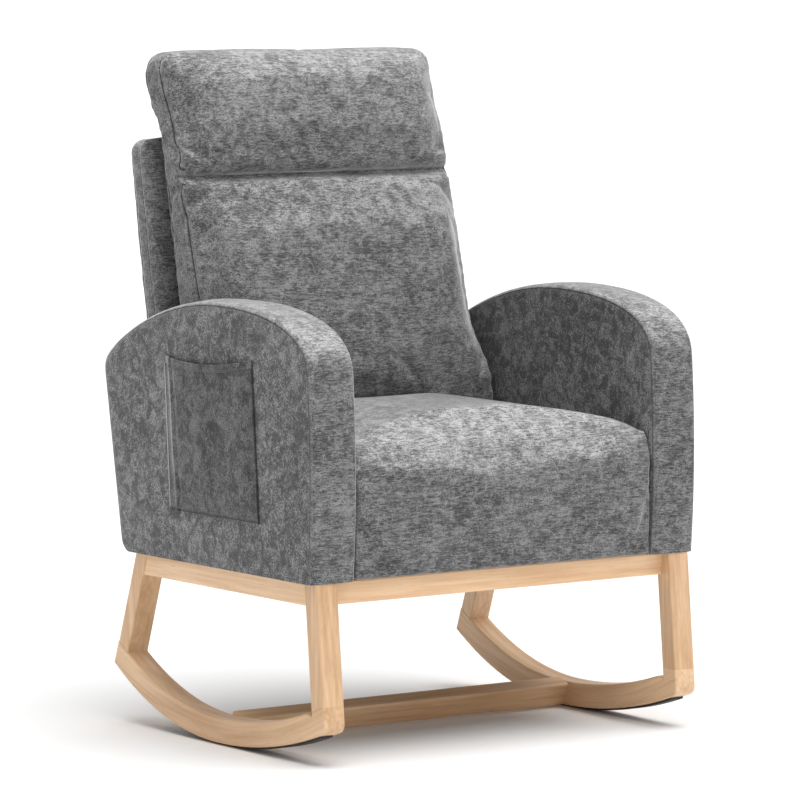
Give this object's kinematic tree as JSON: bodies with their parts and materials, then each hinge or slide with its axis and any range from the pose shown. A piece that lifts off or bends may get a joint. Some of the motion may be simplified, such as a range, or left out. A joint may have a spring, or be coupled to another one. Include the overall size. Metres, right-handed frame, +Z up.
{
  "type": "rocking chair",
  "caption": "Upholstered rocking chair with padded arms, a tall back cushion, a pocket on one arm and bent wooden runners.",
  "frame": {"origin": "on the floor, under the middle of the chair's width and depth", "axes": "+Z up, +X towards the sitter's left, +Y from the front of the chair to its back"},
  "size_m": [0.703, 0.6275, 1.004],
  "materials": {
    "upholstery": "matte",
    "foam": "matte",
    "wadding": "matte",
    "felt": "matte",
    "dust_cloth": "matte",
    "webbing": "matte",
    "pale_wood": "satin",
    "frame_wood": "matte",
    "grip_rubber": "matte",
    "steel": "satin"
  },
  "bodies": {
    "root": {"back_bolts": "steel", "back_cushion_cover": "upholstery", "back_cushion_head_fill": "wadding", "back_cushion_lower_fill": "wadding", "back_front_pad": "upholstery", "back_low_rail": "frame_wood", "back_middle_rail": "frame_wood", "back_outer_cover": "upholstery", "back_straps": "webbing", "back_top_rail": "frame_wood", "body_screws": "steel", "corner_blocks": "pale_wood", "deck_felt": "felt", "dust_cover": "dust_cloth", "front_rail": "pale_wood", "left_arm_band": "upholstery", "left_arm_frame": "frame_wood", "left_arm_inner_panel": "upholstery", "left_arm_outer_panel": "upholstery", "left_back_stile": "frame_wood", "left_front_leg": "pale_wood", "left_grip_strip": "grip_rubber", "left_rear_leg": "pale_wood", "left_runner": "pale_wood", "left_seat_rail": "frame_wood", "left_side_rail": "pale_wood", "leg_bolts": "steel", "leg_dowels": "pale_wood", "pocket_hem": "upholstery", "rear_rail": "pale_wood", "right_arm_band": "upholstery", "right_arm_frame": "frame_wood", "right_arm_inner_panel": "upholstery", "right_arm_outer_panel": "upholstery", "right_back_stile": "frame_wood", "right_front_leg": "pale_wood", "right_grip_strip": "grip_rubber", "right_rear_leg": "pale_wood", "right_runner": "pale_wood", "right_seat_rail": "frame_wood", "right_side_rail": "pale_wood", "seat_cover": "upholstery", "seat_foam": "foam", "seat_front_rail": "frame_wood", "seat_rear_rail": "frame_wood", "seat_springs": "steel", "side_pocket": "upholstery", "spring_clips": "steel", "stretcher": "pale_wood", "stretcher_screws": "steel"}
  },
  "joints": []
}
